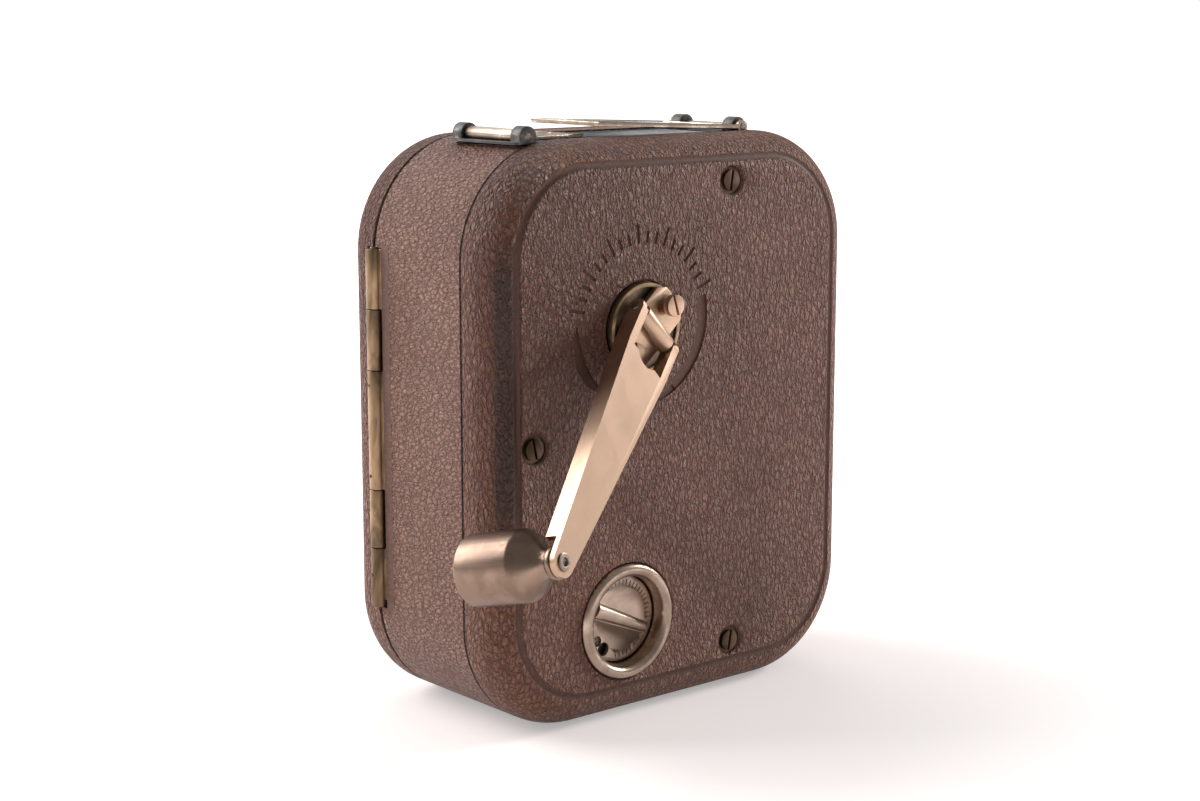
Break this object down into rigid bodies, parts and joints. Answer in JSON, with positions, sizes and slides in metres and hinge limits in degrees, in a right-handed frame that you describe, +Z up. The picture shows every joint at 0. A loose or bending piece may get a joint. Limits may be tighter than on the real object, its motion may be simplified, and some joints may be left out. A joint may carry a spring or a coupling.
{
  "type": "movie camera",
  "caption": "Hand-cranked pocket movie camera in brown leather, with a folding crank, a footage counter, a hinged film door and a folding finder.",
  "frame": {"origin": "middle of the tripod socket's mouth, in the flat base", "axes": "+X to the lens, -Y to the crank side, +Y to the film door, +Z up"},
  "size_m": [0.1131, 0.0682, 0.1112],
  "materials": {
    "leather": "pebbled brown leather, worn at the edges",
    "case_metal": "dull sheet",
    "black_metal": "black, satin, worn",
    "nickel": "warm nickel plate, lightly scratched",
    "steel": "turned",
    "plate_metal": "grained plate",
    "hinge_brass": "plating worn to dark brass",
    "brass": "bright",
    "glass": "clear"
  },
  "bodies": {
    "camera": {"case_shell": "case_metal", "case_leather": "leather", "light_trap": "black_metal", "crank_cover": "case_metal", "crank_cover_leather": "leather", "cover_screws": "steel", "cover_pillars": "steel", "case_hinge_leaf": "hinge_brass", "door_hinge_pin": "steel", "tripod_bush": "brass", "mechanism_plate": "plate_metal", "shaft_bushes": "brass", "idler_stud": "steel", "takeup_bush": "brass", "counter_stud": "steel", "counter_bezel": "nickel", "shaft_block": "plate_metal", "shutter_bush": "brass", "claw_guides": "steel", "gate_plate": "steel", "pad_pin": "steel", "film_guides": "steel", "lens_flange": "nickel", "lens_barrel": "black_metal", "lens_glass": "glass", "finder_base": "black_metal", "finder_pins": "steel"},
    "film_door": {"door_pan": "case_metal", "door_leather": "leather", "door_hinge_leaf": "hinge_brass", "door_catch_tongue": "steel"},
    "catch": {"door_catch_button": "nickel"},
    "crank": {"crank_shaft": "steel", "hub_flange": "hinge_brass", "crank_bracket": "nickel", "bracket_screws": "nickel", "crown_wheel": "brass", "drive_gear": "brass"},
    "arm": {"crank_arm": "nickel", "arm_pin": "steel", "knob_rivet": "steel"},
    "knob": {"crank_knob": "nickel"},
    "idler": {"idler_gear": "brass"},
    "takeup": {"takeup_gear": "brass", "takeup_shaft": "steel", "step_cam": "brass"},
    "footage_disc": {"number_disc": "nickel", "counter_wheel": "brass"},
    "dial": {"counter_dial": "nickel"},
    "shutter": {"shutter_shaft": "steel", "shutter_pinion": "brass", "shutter_disc": "black_metal", "claw_crank": "brass"},
    "film_claw": {"claw": "steel"},
    "pad": {"pressure_pad": "steel"},
    "stops": {"stop_ring": "nickel"},
    "front_sight": {"finder_frame": "nickel", "finder_lens": "glass"},
    "rear_sight": {"finder_sight": "nickel"}
  },
  "joints": [
    {"name": "crank_spin", "type": "hinge", "parent": "camera", "child": "crank", "pos_m": [-0.0103, 0, 0.074], "axis": [0, 1, 0], "continuous": true},
    {"name": "crank_fold", "type": "hinge", "parent": "crank", "child": "arm", "pos_m": [-0.0103, -0.02525, 0.074], "axis": [-0.6691, 0, 0.7431], "range_deg": [0, 160]},
    {"name": "knob_spin", "type": "hinge", "parent": "arm", "child": "knob", "pos_m": [-0.04813, -0.04328, 0.03994], "axis": [-0.2481, 0.9426, -0.2234], "continuous": true},
    {"name": "shutter_spin", "type": "hinge", "parent": "camera", "child": "shutter", "pos_m": [0, -0.0056, 0.074], "axis": [1, 0, 0], "continuous": true},
    {"name": "idler_spin", "type": "hinge", "parent": "camera", "child": "idler", "pos_m": [-0.00791, 0, 0.05012], "axis": [0, 1, 0], "continuous": true},
    {"name": "takeup_spin", "type": "hinge", "parent": "camera", "child": "takeup", "pos_m": [-0.012, 0, 0.033], "axis": [0, 1, 0], "continuous": true},
    {"name": "footage_spin", "type": "hinge", "parent": "camera", "child": "footage_disc", "pos_m": [-0.0137, 0, 0.0188], "axis": [0, 1, 0], "continuous": true},
    {"name": "dial_turn", "type": "hinge", "parent": "camera", "child": "dial", "pos_m": [-0.0137, 0, 0.0188], "axis": [0, 1, 0], "continuous": true},
    {"name": "claw_slide", "type": "slide", "parent": "camera", "child": "film_claw", "axis": [0, 0, 1], "range_m": [-0.00377, 0.00377]},
    {"name": "pad_swing", "type": "hinge", "parent": "camera", "child": "pad", "pos_m": [0.0202, 0.011, 0], "axis": [0, 0, -1], "range_deg": [0, 25], "stiffness_Nm_per_rad": 0.02, "springref_deg": -17.19},
    {"name": "stop_turn", "type": "hinge", "parent": "camera", "child": "stops", "pos_m": [0, 0.0036, 0.074], "axis": [1, 0, 0], "range_deg": [0, 80]},
    {"name": "door_swing", "type": "hinge", "parent": "camera", "child": "film_door", "pos_m": [-0.0455, 0.01275, 0], "axis": [0, 0, 1], "range_deg": [0, 120]},
    {"name": "catch_push", "type": "slide", "parent": "camera", "child": "catch", "axis": [-1, 0, 0], "range_m": [0, 0.0012], "stiffness_N_per_m": 300},
    {"name": "front_sight_fold", "type": "hinge", "parent": "camera", "child": "front_sight", "pos_m": [0.023, 0, 0.1091], "axis": [0, 1, 0], "range_deg": [0, 87]},
    {"name": "rear_sight_fold", "type": "hinge", "parent": "camera", "child": "rear_sight", "pos_m": [-0.03, 0, 0.1091], "axis": [0, -1, 0], "range_deg": [0, 90]}
  ],
  "couplings": [
    {"joint": "shutter_spin", "follows": "crank_spin", "ratio": 8},
    {"joint": "idler_spin", "follows": "crank_spin", "ratio": -1.1429},
    {"joint": "takeup_spin", "follows": "crank_spin", "ratio": 2},
    {"joint": "footage_spin", "follows": "crank_spin", "ratio": -0.025}
  ]
}
